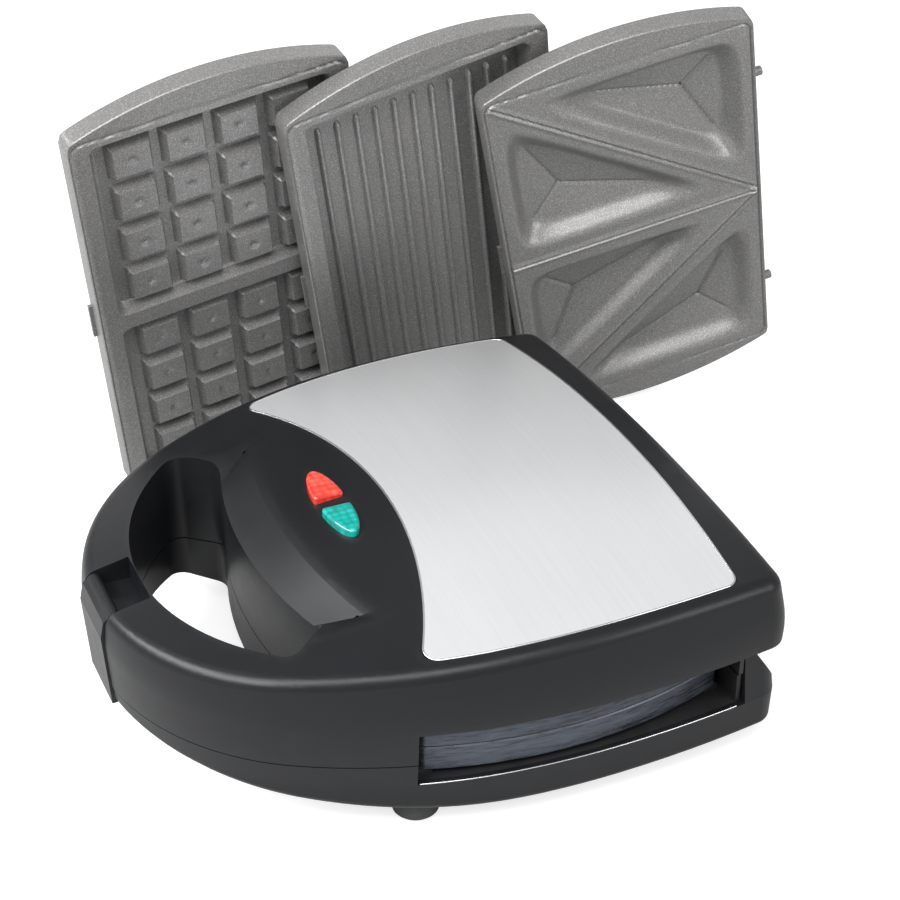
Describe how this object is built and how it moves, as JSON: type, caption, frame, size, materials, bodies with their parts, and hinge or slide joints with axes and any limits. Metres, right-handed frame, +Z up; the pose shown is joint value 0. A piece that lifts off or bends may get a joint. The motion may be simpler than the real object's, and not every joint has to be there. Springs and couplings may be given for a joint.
{
  "type": "sandwich maker",
  "caption": "Hinged breakfast sandwich maker with a ring handle, steel top panel, two pilot lamps and clip-in cooking plates, with loose waffle, grill and sandwich plates.",
  "frame": {"origin": "on the table, under the middle of the machine's length and width, with the lid closed", "axes": "+X across the machine to the right, +Y back from the handle to the hinge, +Z up"},
  "size_m": [0.3123, 0.4081, 0.2309],
  "materials": {
    "satin_black": "satin-gloss black moulded plastic",
    "matt_black": "dark heat-proof plastic",
    "steel": "brushed stainless sheet",
    "zinc": "zinc-plated steel",
    "bright_tin": "bright aluminised sheet",
    "heater_steel": "heat-darkened steel",
    "ceramic": "fired ceramic",
    "rubber": "black rubber",
    "red_glass": "clear red lens",
    "green_glass": "clear teal-green lens",
    "lamp_glass": "small neon lamp",
    "non_stick": "speckled grey non-stick coating on cast aluminium"
  },
  "bodies": {
    "base": {"base_shell": "satin_black", "base_liner": "matt_black", "lower_reflector": "bright_tin", "lower_element": "heater_steel", "lower_insulators": "ceramic", "lower_saddles": "heater_steel", "lower_thermostat": "heater_steel", "thermal_fuse": "heater_steel", "terminal_block": "matt_black", "cord_gland": "rubber", "feet": "rubber", "base_screws": "zinc", "hinge_pins": "zinc", "lower_plate": "non_stick", "waffle_plate": "non_stick", "grill_plate": "non_stick", "sandwich_plate": "non_stick"},
    "lid": {"lid_shell": "satin_black", "lid_liner": "matt_black", "top_panel": "steel", "red_lens": "red_glass", "green_lens": "green_glass", "lamp_holder": "matt_black", "neon_lamps": "lamp_glass", "hinge_arm_left": "zinc", "hinge_arm_right": "zinc", "hinge_rivets": "zinc", "latch_pin": "zinc", "lid_screws": "zinc", "upper_reflector": "bright_tin", "upper_element": "heater_steel", "upper_insulators": "ceramic", "upper_saddles": "heater_steel", "upper_thermostat": "heater_steel", "upper_plate": "non_stick"},
    "latch": {"latch_clip": "satin_black"},
    "upper_catch": {"upper_release": "satin_black"},
    "lower_catch": {"lower_release": "satin_black"}
  },
  "joints": [
    {"name": "lid_hinge", "type": "hinge", "parent": "base", "child": "lid", "pos_m": [0, 0.1169, 0.0484], "axis": [-1, 0, 0], "range_deg": [0, 95]},
    {"name": "latch_hinge", "type": "hinge", "parent": "lid", "child": "latch", "pos_m": [0, -0.1245, 0.0685], "axis": [-1, 0, 0], "range_deg": [0, 75]},
    {"name": "upper_release_slide", "type": "slide", "parent": "lid", "child": "upper_catch", "axis": [0, -1, 0], "range_m": [0, 0.004], "stiffness_N_per_m": 300},
    {"name": "lower_release_slide", "type": "slide", "parent": "base", "child": "lower_catch", "axis": [0, -1, 0], "range_m": [0, 0.004], "stiffness_N_per_m": 300}
  ]
}
